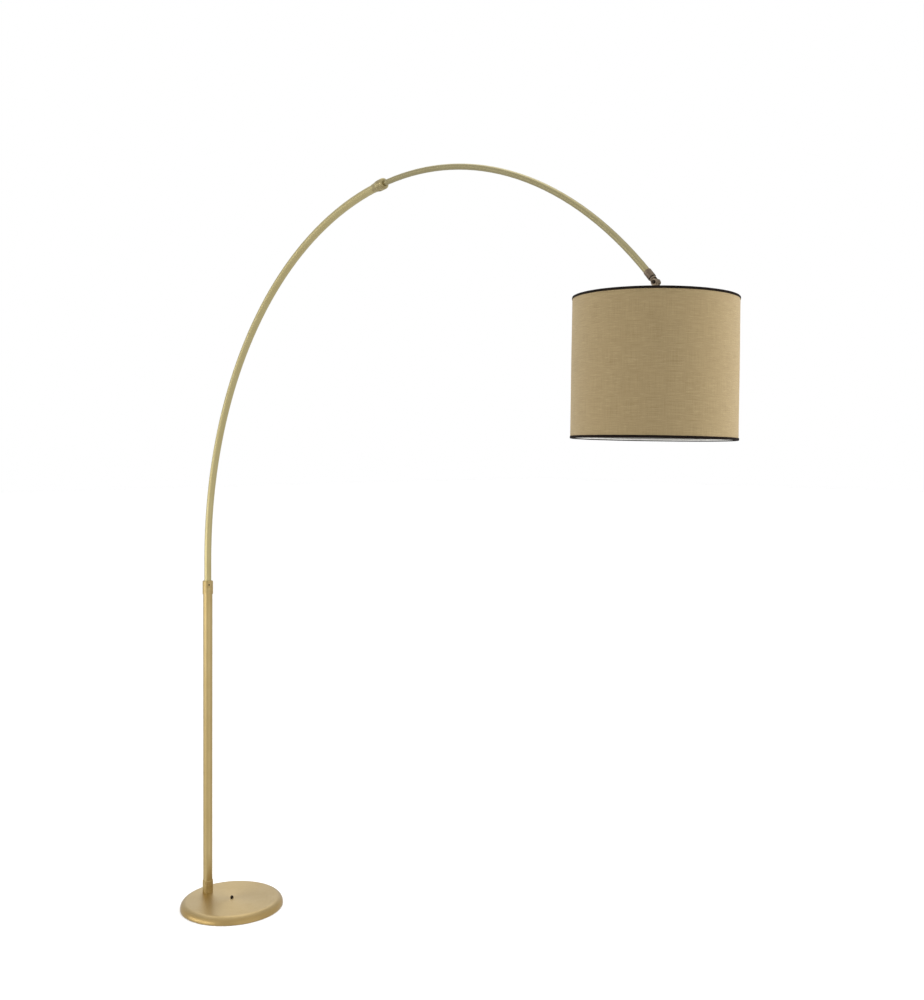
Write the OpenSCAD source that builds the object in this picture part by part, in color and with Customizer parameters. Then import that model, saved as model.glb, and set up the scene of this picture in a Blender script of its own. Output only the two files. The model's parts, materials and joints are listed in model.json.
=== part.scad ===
// Arc floor lamp.
// A heavy round base carries an upright pole near its edge. A telescoping arc of two tubes rises from
// the pole, and a drum shade hangs from a friction knuckle at the free end.
// Origin: centre of the base on the floor. +Z is up. +X is the way the arc reaches, and the arc lies in
// a plane parallel to XZ. Units are millimetres.

/* [Base] */
// Diameter of the round base
base_d = 306; // [300:1:320]
// Height of the base over the floor
base_h = 23; // [22:0.5:26]
// Radius of the rounded shoulder
base_shoulder = 19; // [16:0.5:19]
// Wall of the spun cover
cover_t = 1.5; // [1:0.1:1.5]
// Thickness of the felt pad under the base
pad_h = 2.5; // [2:0.1:3]
// Distance from the centre of the base to the axis of the pole
pole_offset = 97; // [92:1:105]
// Angle between the arm and the line from the pole to the centre of the base
base_turn = 19; // [0:1:30]

/* [Pole] */
// Outside diameter of the pole
pole_d = 28; // [28:0.5:29]
// Wall of the pole
pole_t = 1.5; // [1.2:0.1:1.5]
// Height of the top of the upper collar
pole_top = 980; // [900:5:1050]
// Outside diameter of the ferrule and the upper collar
collar_d = 31.5; // [31:0.1:34]
// Height of the ferrule at the foot of the pole
ferrule_h = 37; // [30:1:45]
// Height of the upper collar
collar_h = 41; // [38:1:50]

/* [Arc] */
// Straight run of the lower tube above the collar
arc_rise = 65; // [10:1:100]
// Radius of the arc at the middle of the tubes
arc_r = 1010; // [980:5:1100]
// Outside diameter of the lower tube
lower_d = 21; // [20.8:0.1:21.2]
// Wall of the lower tube
lower_t = 1; // [1:0.1:1.5]
// Angle that the lower tube turns through
lower_angle = 83.5; // [75:0.5:86]
// Outside diameter of the upper tube
upper_d = 14; // [13.8:0.1:14.2]
// Wall of the upper tube
upper_t = 0.8; // [0.8:0.1:1]
// Angle that the upper tube stands out of the lower one
upper_angle = 54.6; // [45:0.1:56]
// Angle of the upper tube that stays inside the lower one
overlap_angle = 14; // [12:1:16]

/* [Head] */
// Sideways turn of the knuckle about the end of the arc
head_swivel = -2; // [-10:1:10]
// Tilt of the shade about the knuckle
head_tilt = 0; // [-10:1:10]
// Distance from the tilt screw down to the top of the shade
shade_drop = 30; // [29:0.5:34]

/* [Shade] */
// Outside diameter of the drum shade
shade_d = 320; // [300:5:340]
// Height of the drum shade
shade_h = 273; // [260:1:290]
// Thickness of the linen
linen_t = 0.7; // [0.5:0.1:1]
// Thickness of the lining
lining_t = 0.4; // [0.3:0.1:0.8]
// Height of the dark trim at each edge
trim_h = 5; // [4:0.5:9]
// Thickness of the trim
trim_t = 0.8; // [0.6:0.1:1]
// Diameter of the wire of the frame
wire_d = 3; // [2.5:0.1:3.5]

/* [Hidden] */
$fn = 96;

// Overlap of two cutting shapes that meet
eps = 0.01;
// How far a cutting shape runs past the piece that it cuts
past = 1;
// Clearance of pieces that are pressed or screwed together, on the radius
snug = 0.02;
// Clearance of a running fit, on the radius
run_fit = 0.05;
// Clearance of a hole round a nipple, screw or nut
hole_gap = 0.2;
// Clearance between pieces that only pass each other
free_gap = 0.35;

brass = "#b79c66";
bronze = "#6f5f4a";
dark = "#2b211a";
steel = "#9a9c9e";
iron = "#4a4a4c";
white = "#e9e6dd";
linen = "#b29a6d";

// Base
base_r = base_d / 2;
shoulder_r = base_r - base_shoulder;
pad_inset = 7.5;
pad_r = base_r - pad_inset;
cover_rim_z = 1.2;
weight_gap = 0.5;
weight_top = base_h - cover_t - weight_gap;
pole_x = -pole_offset * cos(base_turn);
pole_y = -pole_offset * sin(base_turn);
pole_bearing = 180 + base_turn;

// Foot fixing of the pole
nipple_r = 8;
nipple_bore_r = 4;
nipple_bottom = 9.5;
nipple_top = 46;
pocket_r = 19;
pocket_top = 15;
foot_washer_r = 17;
foot_washer_h = 1.8;
foot_nut_h = 5;
foot_nut_af = 22;
plug_top = 50;

// Centre fixing of the cover
centre_r = 3;
centre_head_r = 4.7;
centre_head_h = 7;
centre_pocket_r = 10;
centre_pocket_top = 11;
centre_bottom = 3.5;
centre_washer_r = 9;
centre_washer_h = 1.2;
centre_nut_h = 4.5;
centre_nut_af = 10;

// Cable way
cable_r = 2.5;
cable_z = 5.2;
cable_bend = 7;
elbow_r = cable_r + 0.1;
elbow_lap = 0.8;
trench_w = 11;
trench_top = 14.5;
gland_z = 7;
gland_bore_r = 3.2;
gland_r = 4.4;
gland_flange_r = 5.4;
gland_in = 5;
gland_flange_in = 2.6;
gland_out = 1;
block_at = 70;
block_size = [22, 16, 9];
block_pocket = [30, 22, 12.5];

// Pole
pole_r = pole_d / 2;
pole_bore_r = pole_r - pole_t;
collar_r = collar_d / 2;
collar_lip = 20;
pole_end = pole_top - collar_lip;
bush_h = 50;
bush_floor = 4;
bush_bore_r = 4.5;
bush_bottom = pole_end - bush_h;
arc_z = pole_top + arc_rise;
collar_screw_z = pole_top - 12;
collar_screw_bearing = -14;
collar_screw_r = 2.5;
screw_sunk = 0.4;
socket_r = 1.4;
socket_deep = 1.5;

// Arc
lower_r = lower_d / 2;
lower_bore_r = lower_r - lower_t;
spigot_r = lower_r - run_fit;
spigot_lap = 2;
upper_r = upper_d / 2;
upper_bore_r = upper_r - upper_t;
spigot_bottom = bush_bottom + bush_floor + free_gap;
arc_centre = [pole_x + arc_r, pole_y, arc_z];
arc_end = lower_angle + upper_angle;
inner_end = lower_angle - overlap_angle;
degree = arc_r * PI / 180;

// Mid joint
bell_back = 36;
bell_nose = 9;
bell_r = 14.2;
bell_neck_r = lower_r + 0.9;
bell_swell = 20;
bell_nose_r = 6.5;
bell_bore_r = lower_r + run_fit;
bell_at = lower_angle - (bell_back - bell_nose) / 2 / degree;
bell_mouth_r = upper_r + free_gap;
bell_wall = 3.6;
liner_in = 46;
liner_flange_r = lower_r;
liner_flange = 4.6;
joint_screw_back = 13;
joint_screw_r = 2.5;
guide_len = 46;

// Knuckle
sleeve_r = 8.2;
sleeve_back = 21;
sleeve_front = 3;
sleeve_screw_in = 12;
tube_back = 13;
swivel_r = 4.95;
swivel_bore_r = 3;
swivel_washer_r = 6.3;
swivel_washer_h = 1.6;
knuckle_r = 7;
knuckle_back = sleeve_front - swivel_washer_h - free_gap;
tilt_at = 10;
cheek_t = 6.3;
cheek_gap = 0.2;
tilt_screw_r = 2;
tilt_screw_out = 3;
tilt_head_r = 3.6;
tilt_head_h = 2.4;
tilt_nut_r = 4.2;
tilt_nut_h = 6.5;
stub_len = 11;
stub_floor = 2;
stub_start = knuckle_r + 0.5;
swivel_in = 1.7;

// Lampholder, measured down from the tilt screw
head_nipple_top = -11;
head_nipple_bottom = -30;
locknut_h = 3;
locknut_af = 14;
cap_top = -22;
cap_bottom = -42;
cap_r = 18.5;
ring_seat_z = -46;
ring_plate_t = 1.6;
holder_r = 18.5;
holder_flange_r = 22.5;
holder_bottom = -82;
shell_r = 14.4;
shell_top = -54;
shell_t = 0.5;
shell_len = 26;
insulator_h = 10;
insulator_r = 16.2;
clamp_r = 27;
clamp_h = 7;
bulb_top = -56;
bulb_cap_r = 13;
bulb_cap_len = 26;
bulb_r = 30;
bulb_centre = -130;
glass_t = 1;

// Shade
shade_r = shade_d / 2;
shade_top = -shade_drop;
shade_bottom = shade_top - shade_h;
linen_r = shade_r - trim_t;
lining_r = linen_r - linen_t;
inner_r = lining_r - lining_t;
cloth_top = shade_top - trim_t - 2 * run_fit;
cloth_bottom = shade_bottom + trim_t + 2 * run_fit;
frame_r = inner_r - trim_t - wire_d / 2 - hole_gap;
frame_inset = 3.5;
spider_arms = 3;
spider_plate_r = 30;

function at_pole(z) = [pole_x, pole_y, z];

// A point on the arc, so many degrees from the pole
function arc_point(angle) = [
  arc_centre[0] - arc_r * cos(angle),
  arc_centre[1],
  arc_centre[2] + arc_r * sin(angle)
];

// A hollow or solid bar that follows the arc between two angles
module arc_bar(from, to, r) {
  translate(arc_centre)
    rotate([90, 0, 0])
      rotate([0, 0, 180 - to])
        rotate_extrude(angle = to - from, $fn = 360)
          translate([arc_r, 0])
            circle(r, $fn = 64);
}

// Children drawn along +Z are laid along the arc at an angle, with +Z pointing to the free end
module on_arc(angle) {
  translate(arc_point(angle))
    rotate([0, angle, 0])
      children();
}

module hex_nut(af, h, bore_r) {
  difference() {
    cylinder(r = af / 2 / cos(30), h = h, $fn = 6);
    translate([0, 0, -past])
      cylinder(r = bore_r, h = h + 2 * past);
  }
}

module tube(r_out, r_in, z0, z1) {
  difference() {
    translate([0, 0, z0])
      cylinder(r = r_out, h = z1 - z0);
    translate([0, 0, z0 - past])
      cylinder(r = r_in, h = z1 - z0 + 2 * past);
  }
}

// Frame of the knuckle: origin at the tilt screw, turned about the end of the arc
module knuckle_frame() {
  on_arc(arc_end)
    rotate([0, 0, head_swivel])
      translate([0, 0, tilt_at])
        children();
}

// Frame of the head: origin at the tilt screw, +Z along the axis of the shade
module head_frame() {
  knuckle_frame()
    rotate([0, head_tilt - arc_end, 0])
      children();
}

// Solid outline of the base, smaller by an inset, up to a height
module base_outline(inset, bottom, top) {
  corner = base_shoulder - inset;
  translate([0, bottom])
    square([base_r - inset, top - corner - bottom]);
  translate([0, bottom])
    square([shoulder_r, top - bottom]);
  intersection() {
    translate([shoulder_r, top - corner])
      circle(corner);
    translate([0, bottom])
      square([base_r, top - bottom]);
  }
}

module base_pad() {
  color(dark)
    cylinder(r = pad_r, h = pad_h, $fn = 180);
}

module base_weight() {
  color(iron)
    difference() {
      rotate_extrude($fn = 180)
        base_outline(cover_t + weight_gap, pad_h, weight_top);
      cylinder(r = centre_r + 2 * hole_gap, h = base_h + past);
      translate([0, 0, pad_h - past])
        cylinder(r = centre_pocket_r, h = centre_pocket_top - pad_h + past);
      translate(at_pole(0))
        cylinder(r = nipple_r + 2 * hole_gap, h = base_h + past);
      translate(at_pole(pad_h - past))
        cylinder(r = pocket_r, h = pocket_top - pad_h + past);
      rotate([0, 0, pole_bearing]) {
        translate([block_at, -trench_w / 2, pad_h - past])
          cube([base_r - block_at, trench_w, trench_top - pad_h + past]);
        translate([block_at - block_pocket[0] / 2, -block_pocket[1] / 2, pad_h - past])
          cube([block_pocket[0], block_pocket[1], block_pocket[2] + past]);
      }
    }
}

module base_cover() {
  color(brass)
    difference() {
      rotate_extrude($fn = 180)
        difference() {
          base_outline(0, cover_rim_z, base_h);
          base_outline(cover_t, 0, base_h - cover_t);
        }
      cylinder(r = centre_r + hole_gap, h = base_h + past);
      translate(at_pole(0))
        cylinder(r = nipple_r + hole_gap, h = base_h + past);
      rotate([0, 0, pole_bearing])
        translate([shoulder_r, 0, gland_z])
          rotate([0, 90, 0])
            cylinder(r = gland_flange_r + hole_gap / 2, h = base_shoulder + past);
    }
}

module centre_screw() {
  dome_r = 5.6;
  color(dark) {
    translate([0, 0, centre_bottom])
      cylinder(r = centre_r, h = base_h - centre_bottom);
    intersection() {
      translate([0, 0, base_h])
        cylinder(r = centre_head_r, h = centre_head_h);
      translate([0, 0, base_h + centre_head_h - dome_r])
        sphere(r = dome_r);
    }
  }
}

module centre_washer() {
  color(steel)
    tube(centre_washer_r, centre_r + hole_gap, centre_pocket_top - centre_washer_h, centre_pocket_top);
}

module centre_nut() {
  color(steel)
    translate([0, 0, centre_pocket_top - centre_washer_h - centre_nut_h])
      hex_nut(centre_nut_af, centre_nut_h, centre_r + snug);
}

module cable_gland() {
  color(dark)
    rotate([0, 0, pole_bearing])
      translate([base_r, 0, gland_z])
        rotate([0, 90, 0])
          difference() {
            union() {
              translate([0, 0, -gland_in])
                cylinder(r = gland_r, h = gland_in + gland_out);
              translate([0, 0, -gland_flange_in])
                cylinder(r = gland_flange_r, h = gland_flange_in + gland_out);
            }
            translate([0, 0, -gland_in - past])
              cylinder(r = gland_bore_r, h = gland_in + gland_out + 2 * past);
          }
}

module terminal_block() {
  way_r = 1.6;
  way_at = 4;
  way_up = 2;
  color(white)
    rotate([0, 0, pole_bearing])
      translate([block_at, 0, pad_h + hole_gap + block_size[2] / 2])
        difference() {
          cube(block_size, center = true);
          for (side = [-1, 1])
            translate([0, side * way_at, way_up])
              rotate([0, 90, 0])
                cylinder(r = way_r, h = block_size[0] + 2 * past, center = true);
        }
}

module foot_nipple() {
  color(steel)
    translate(at_pole(0))
      tube(nipple_r, nipple_bore_r, nipple_bottom, nipple_top);
}

module foot_washer() {
  color(steel)
    translate(at_pole(0))
      tube(foot_washer_r, nipple_r + hole_gap, pocket_top - foot_washer_h, pocket_top);
}

module foot_nut() {
  color(steel)
    translate(at_pole(pocket_top - foot_washer_h - foot_nut_h))
      hex_nut(foot_nut_af, foot_nut_h, nipple_r + snug);
}

module pole_foot_plug() {
  color(steel)
    translate(at_pole(0))
      tube(pole_bore_r - snug, nipple_r + snug, base_h, plug_top);
}

module pole_ferrule() {
  groove_r = 0.5;
  groove_down = 5;
  chamfer = 1;
  color(brass)
    translate(at_pole(0))
      difference() {
        union() {
          translate([0, 0, base_h])
            cylinder(r = collar_r, h = ferrule_h - chamfer);
          translate([0, 0, base_h + ferrule_h - chamfer])
            cylinder(r1 = collar_r, r2 = collar_r - chamfer, h = chamfer);
        }
        translate([0, 0, base_h - past])
          cylinder(r = pole_r + snug, h = ferrule_h + 2 * past);
        translate([0, 0, base_h + ferrule_h - groove_down])
          rotate_extrude()
            translate([collar_r, 0])
              circle(groove_r, $fn = 24);
      }
}

module pole_tube() {
  color(brass)
    translate(at_pole(0))
      tube(pole_r, pole_bore_r, base_h, pole_end);
}

module pole_collar() {
  chamfer = 2.2;
  color(brass)
    difference() {
      translate(at_pole(pole_top - collar_h)) {
        cylinder(r = collar_r, h = collar_h - chamfer);
        translate([0, 0, collar_h - chamfer])
          cylinder(r1 = collar_r, r2 = collar_r - chamfer, h = chamfer);
      }
      translate(at_pole(pole_top - collar_h - past))
        cylinder(r = pole_r + snug, h = collar_h - collar_lip + past);
      translate(at_pole(0))
        cylinder(r = lower_r + free_gap, h = pole_top + past);
      translate(at_pole(collar_screw_z))
        rotate([0, 90, collar_screw_bearing])
          cylinder(r = collar_screw_r + snug, h = collar_r + past);
    }
}

module swivel_bush() {
  color(white)
    translate(at_pole(0))
      difference() {
        translate([0, 0, bush_bottom])
          cylinder(r = pole_bore_r - snug, h = bush_h - hole_gap);
        translate([0, 0, bush_bottom + bush_floor])
          cylinder(r = spigot_r + run_fit, h = bush_h);
        translate([0, 0, bush_bottom - past])
          cylinder(r = bush_bore_r, h = bush_h);
      }
}

module collar_set_screw() {
  head = collar_r - screw_sunk;
  tip = lower_r + free_gap + run_fit;
  color(dark)
    translate(at_pole(collar_screw_z))
      rotate([0, 90, collar_screw_bearing])
        difference() {
          translate([0, 0, tip])
            cylinder(r = collar_screw_r, h = head - tip);
          translate([0, 0, head - socket_deep])
            cylinder(r = socket_r, h = socket_deep + past, $fn = 6);
        }
}

module pole_cable() {
  color(dark) {
    rotate([0, 0, pole_bearing]) {
      translate([block_at + block_size[0] / 2, 0, cable_z])
        rotate([0, 90, 0])
          cylinder(r = cable_r, h = pole_offset - cable_bend - block_at - block_size[0] / 2 + elbow_lap);
      translate([pole_offset - cable_bend, 0, cable_z + cable_bend])
        rotate([-90, 0, 0])
          rotate_extrude(angle = 90)
            translate([cable_bend, 0])
              circle(elbow_r);
    }
    translate(at_pole(cable_z + cable_bend - elbow_lap))
      cylinder(r = cable_r, h = bush_bottom + bush_floor - cable_z - cable_bend + elbow_lap);
  }
}

module arc_tube_lower() {
  hole = lower_angle - joint_screw_back / degree;
  color(brass)
    difference() {
      union() {
        translate(at_pole(spigot_bottom))
          cylinder(r = spigot_r, h = arc_z - spigot_bottom + spigot_lap);
        arc_bar(0, lower_angle, lower_r);
      }
      translate(at_pole(spigot_bottom - past))
        cylinder(r = lower_bore_r + run_fit, h = arc_z - spigot_bottom + past);
      arc_bar(0, lower_angle + past / degree, lower_bore_r);
      on_arc(hole)
        rotate([0, 90, 0])
          cylinder(r = joint_screw_r + snug, h = lower_d);
    }
}

// Sleeve that swells to a bell over the end of the lower tube and closes in to a rounded nose
module joint_bell() {
  swell_from = 3;
  swell_steps = 12;
  length = bell_back + bell_nose;
  flat_r = bell_r - bell_nose_r;
  color(brass)
    difference() {
      on_arc(bell_at)
        translate([0, 0, -length / 2])
          rotate_extrude() {
            polygon(concat(
              [[0, 0], [bell_neck_r, 0]],
              [for (i = [0:swell_steps]) [
                bell_neck_r + (bell_r - bell_neck_r) * (1 - cos(180 * i / swell_steps)) / 2,
                swell_from + bell_swell * i / swell_steps
              ]],
              [[bell_r, length - bell_nose_r], [flat_r, length - bell_nose_r],
               [flat_r, length], [0, length]]
            ));
            translate([flat_r, length - bell_nose_r])
              circle(bell_nose_r);
          }
      arc_bar(
        lower_angle - (bell_back + past) / degree,
        lower_angle + (bell_nose - bell_wall) / degree,
        bell_bore_r
      );
      arc_bar(lower_angle, lower_angle + (bell_nose + past) / degree, bell_mouth_r);
      on_arc(lower_angle - joint_screw_back / degree)
        rotate([0, 90, 0])
          cylinder(r = joint_screw_r + snug, h = lower_d);
    }
}

// Nylon sleeve that the upper tube slides in, with a flange held between the tube and the bell
module joint_liner() {
  out = lower_angle + liner_flange / degree;
  color(dark)
    difference() {
      union() {
        arc_bar(lower_angle - liner_in / degree, out, lower_bore_r - snug);
        arc_bar(lower_angle + hole_gap / degree, out, liner_flange_r);
      }
      arc_bar(
        lower_angle - (liner_in + past) / degree,
        out + past / degree,
        upper_r + run_fit
      );
      on_arc(lower_angle - joint_screw_back / degree)
        rotate([0, 90, 0])
          cylinder(r = joint_screw_r + snug, h = lower_d);
    }
}

module joint_set_screw() {
  head = bell_r - screw_sunk;
  tip = upper_r + free_gap;
  color(dark)
    on_arc(lower_angle - joint_screw_back / degree)
      rotate([0, 90, 0])
        difference() {
          translate([0, 0, tip])
            cylinder(r = joint_screw_r, h = head - tip);
          translate([0, 0, head - socket_deep])
            cylinder(r = socket_r, h = socket_deep + past, $fn = 6);
        }
}

module arc_cable_lower() {
  start = bush_bottom + bush_floor + hole_gap;
  color(dark) {
    translate(at_pole(start))
      cylinder(r = cable_r - run_fit, h = arc_z - start + spigot_lap);
    arc_bar(0, inner_end - past / degree, cable_r);
  }
}

module arc_tube_upper() {
  color(brass)
    difference() {
      arc_bar(inner_end, arc_end - tube_back / degree, upper_r);
      arc_bar(inner_end - past / degree, arc_end, upper_bore_r);
    }
}

// Nylon ring on the hidden end of the upper tube: it guides the tube and stops it coming out
module inner_guide() {
  color(white)
    difference() {
      arc_bar(inner_end, inner_end + guide_len / degree, lower_bore_r - run_fit);
      arc_bar(inner_end - past / degree, inner_end + (guide_len + past) / degree, upper_r + snug);
    }
}

module end_sleeve() {
  back = arc_end - sleeve_back / degree;
  seat = arc_end - tube_back / degree;
  front = arc_end - sleeve_front / degree;
  color(bronze)
    difference() {
      arc_bar(back, front, sleeve_r);
      arc_bar(back - past / degree, seat + eps, upper_r + snug);
      arc_bar(seat - past / degree, front + past / degree, swivel_r + hole_gap);
    }
}

module swivel_nipple() {
  color(steel)
    on_arc(arc_end)
      tube(swivel_r, swivel_bore_r, -sleeve_front - sleeve_screw_in, swivel_in);
}

module swivel_washer() {
  color(dark)
    on_arc(arc_end)
      tube(swivel_washer_r, swivel_r + run_fit, run_fit - sleeve_front, swivel_washer_h - sleeve_front);
}

module arc_cable_upper() {
  color(dark)
    arc_bar(inner_end, arc_end, cable_r);
}

module knuckle_upper() {
  color(bronze)
    knuckle_frame()
      difference() {
        union() {
          translate([0, 0, -tilt_at - knuckle_back])
            cylinder(r = knuckle_r, h = tilt_at + knuckle_back - stub_start);
          translate([0, cheek_gap, 0])
            rotate([-90, 0, 0])
              cylinder(r = knuckle_r, h = cheek_t);
          intersection() {
            translate([0, 0, -tilt_at])
              cylinder(r = knuckle_r, h = tilt_at);
            translate([-knuckle_r, cheek_gap, -tilt_at])
              cube([2 * knuckle_r, cheek_t, tilt_at]);
          }
        }
        translate([0, 0, -tilt_at - knuckle_back - past])
          cylinder(r = swivel_r + run_fit, h = knuckle_back + swivel_in + hole_gap + past);
        rotate([-90, 0, 0])
          cylinder(r = tilt_screw_r + snug, h = 2 * cheek_t);
      }
}

module knuckle_screw() {
  color(dark)
    knuckle_frame()
      rotate([90, 0, 0]) {
        translate([0, 0, -cheek_gap - cheek_t - tilt_screw_out])
          cylinder(r = tilt_screw_r, h = 2 * (cheek_gap + cheek_t) + free_gap + tilt_screw_out);
        translate([0, 0, cheek_gap + cheek_t + free_gap])
          cylinder(r = tilt_head_r, h = tilt_head_h);
      }
}

// Domed nut that locks the tilt
module knuckle_nut() {
  dome = tilt_nut_r;
  color(dark)
    knuckle_frame()
      translate([0, cheek_gap + cheek_t + snug, 0])
        rotate([-90, 0, 0])
          difference() {
            union() {
              cylinder(r = tilt_nut_r, h = tilt_nut_h - dome / 2);
              intersection() {
                translate([0, 0, tilt_nut_h - dome])
                  sphere(r = dome);
                cylinder(r = tilt_nut_r + past, h = tilt_nut_h);
              }
            }
            translate([0, 0, -past])
              cylinder(r = tilt_screw_r + snug, h = tilt_screw_out + 2 * past);
          }
}

module knuckle_lower() {
  color(bronze)
    head_frame()
      difference() {
        union() {
          translate([0, 0, -stub_start - stub_len])
            cylinder(r = knuckle_r, h = stub_len);
          translate([0, -cheek_gap - cheek_t, 0])
            rotate([-90, 0, 0])
              cylinder(r = knuckle_r, h = cheek_t);
          intersection() {
            translate([0, 0, -stub_start - past])
              cylinder(r = knuckle_r, h = stub_start + past);
            translate([-knuckle_r, -cheek_gap - cheek_t, -stub_start - past])
              cube([2 * knuckle_r, cheek_t, stub_start + past]);
          }
        }
        translate([0, 0, -stub_start - stub_len - past])
          cylinder(r = swivel_r + run_fit, h = stub_len - stub_floor + past);
        rotate([90, 0, 0])
          cylinder(r = tilt_screw_r + run_fit, h = 2 * cheek_t);
      }
}

module head_nipple() {
  color(steel)
    head_frame()
      tube(swivel_r, swivel_bore_r, head_nipple_bottom, head_nipple_top);
}

module holder_locknut() {
  color(steel)
    head_frame()
      translate([0, 0, cap_top])
        hex_nut(locknut_af, locknut_h, swivel_r + run_fit);
}

module holder_cap() {
  wall = 1.6;
  waist = cap_bottom + 12;
  neck_r = 9;
  color(dark)
    head_frame()
      difference() {
        union() {
          translate([0, 0, cap_bottom])
            cylinder(r = cap_r, h = waist - cap_bottom);
          translate([0, 0, waist])
            cylinder(r1 = cap_r, r2 = neck_r, h = cap_top - waist);
        }
        translate([0, 0, cap_bottom - past]) {
          cylinder(r = cap_r - wall, h = waist - cap_bottom + past - wall / 2);
          cylinder(r = swivel_r + run_fit, h = cap_top - cap_bottom + 2 * past);
        }
        translate([0, 0, waist - wall / 2])
          cylinder(r1 = cap_r - wall, r2 = neck_r - wall, h = 5);
      }
}

module holder_body() {
  wall = 1.8;
  color(dark)
    head_frame() {
      tube(holder_r, holder_r - wall, holder_bottom, cap_bottom);
      tube(holder_flange_r, holder_r - wall, ring_seat_z + ring_plate_t + run_fit, cap_bottom);
    }
}

module holder_insulator() {
  contact_hole_r = 3;
  contact_hole = 3;
  wire_hole_r = 1.6;
  wire_hole_at = 9;
  wire_hole_up = 4;
  color(white)
    head_frame()
      difference() {
        translate([0, 0, shell_top])
          cylinder(r = insulator_r, h = insulator_h);
        translate([0, 0, shell_top - past])
          cylinder(r = contact_hole_r, h = contact_hole + past);
        for (side = [-1, 1])
          translate([side * wire_hole_at, 0, shell_top + wire_hole_up])
            cylinder(r = wire_hole_r, h = insulator_h);
      }
}

module holder_thread_shell() {
  color(brass)
    head_frame()
      tube(shell_r, shell_r - shell_t, shell_top - shell_len, shell_top - run_fit);
}

module holder_contact() {
  contact_r = 2.6;
  color(brass)
    head_frame()
      translate([0, 0, bulb_top + run_fit])
        cylinder(r = contact_r, h = shell_top - bulb_top + 2);
}

module shade_clamp_ring() {
  grips = 24;
  grip_r = 1.5;
  grip_out = 0.5;
  color(dark)
    head_frame()
      difference() {
        translate([0, 0, ring_seat_z - clamp_h - run_fit])
          cylinder(r = clamp_r, h = clamp_h);
        translate([0, 0, ring_seat_z - clamp_h - past])
          cylinder(r = holder_r + run_fit, h = clamp_h + 2 * past);
        for (i = [0:grips - 1])
          rotate([0, 0, i * 360 / grips])
            translate([clamp_r + grip_out, 0, ring_seat_z - clamp_h - past])
              cylinder(r = grip_r, h = clamp_h + 2 * past, $fn = 16);
      }
}

module holder_lead() {
  bottom = shell_top + insulator_h + run_fit;
  top = -stub_start - stub_floor - past;
  color(dark)
    head_frame()
      translate([0, 0, bottom])
        cylinder(r = cable_r - run_fit, h = top - bottom);
}

module bulb_cap() {
  skirt = bulb_cap_len - 2;
  button_r = 5;
  button_h = 3;
  cap_t = 0.6;
  color(steel)
    head_frame()
      difference() {
        union() {
          translate([0, 0, bulb_top - bulb_cap_len])
            cylinder(r = bulb_cap_r, h = skirt);
          translate([0, 0, bulb_top - button_h])
            cylinder(r = button_r, h = button_h);
        }
        translate([0, 0, bulb_top - bulb_cap_len - past])
          cylinder(r = bulb_cap_r - cap_t, h = skirt);
      }
}

// Blown outline of the glass: a ball that narrows to a neck at the cap
module bulb_profile(inset) {
  neck_z = bulb_top - bulb_cap_len;
  translate([0, bulb_centre])
    circle(bulb_r - inset);
  polygon([
    [0, bulb_centre],
    [sqrt(3) / 2 * (bulb_r - inset), bulb_centre + (bulb_r - inset) / 2],
    [bulb_cap_r - inset, neck_z],
    [0, neck_z]
  ]);
}

module bulb_glass() {
  color(white)
    head_frame()
      rotate_extrude()
        intersection() {
          difference() {
            bulb_profile(0);
            bulb_profile(glass_t);
          }
          translate([0, bulb_centre - 2 * bulb_r])
            square([2 * bulb_r, bulb_top - bulb_cap_len - run_fit - bulb_centre + 2 * bulb_r]);
        }
}

// Ring that the holder clamps, three wire arms and the wire round the top of the shade
module shade_spider() {
  rim_z = shade_top - frame_inset;
  first_arm = 30;
  arm_start = spider_plate_r - past;
  arm_r = wire_d / 2 - run_fit;
  rise = rim_z - ring_seat_z - ring_plate_t / 2;
  run = frame_r - arm_start;
  color(steel)
    head_frame() {
      tube(spider_plate_r, holder_r + hole_gap, ring_seat_z, ring_seat_z + ring_plate_t);
      translate([0, 0, rim_z])
        rotate_extrude($fn = 180)
          translate([frame_r, 0])
            circle(wire_d / 2, $fn = 32);
      for (i = [0:spider_arms - 1])
        rotate([0, 0, first_arm + i * 360 / spider_arms])
          translate([arm_start, 0, ring_seat_z + ring_plate_t / 2])
            rotate([0, 90 - atan2(rise, run), 0])
              cylinder(r = arm_r, h = norm([rise, run]), $fn = 32);
    }
}

module shade_bottom_ring() {
  color(steel)
    head_frame()
      translate([0, 0, shade_bottom + frame_inset])
        rotate_extrude($fn = 180)
          translate([frame_r, 0])
            circle(wire_d / 2, $fn = 32);
}

module shade_lining() {
  color(white)
    head_frame()
      tube(lining_r - snug, inner_r, cloth_bottom, cloth_top, $fn = 180);
}

module shade_linen() {
  color(linen)
    head_frame()
      tube(linen_r, lining_r, cloth_bottom, cloth_top, $fn = 180);
}

// Trim folded over one edge of the shade, drawn for the top edge
module edge_trim() {
  rotate_extrude($fn = 180)
    difference() {
      translate([inner_r - trim_t, -trim_h])
        square([shade_r - inner_r + trim_t, trim_h]);
      translate([inner_r - snug, -trim_h - past])
        square([shade_r - inner_r - trim_t + 2 * snug, trim_h + past - trim_t]);
    }
}

module shade_trim_top() {
  color(dark)
    head_frame()
      translate([0, 0, shade_top])
        edge_trim();
}

module shade_trim_bottom() {
  color(dark)
    head_frame()
      translate([0, 0, shade_bottom])
        mirror([0, 0, 1])
          edge_trim();
}

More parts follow.
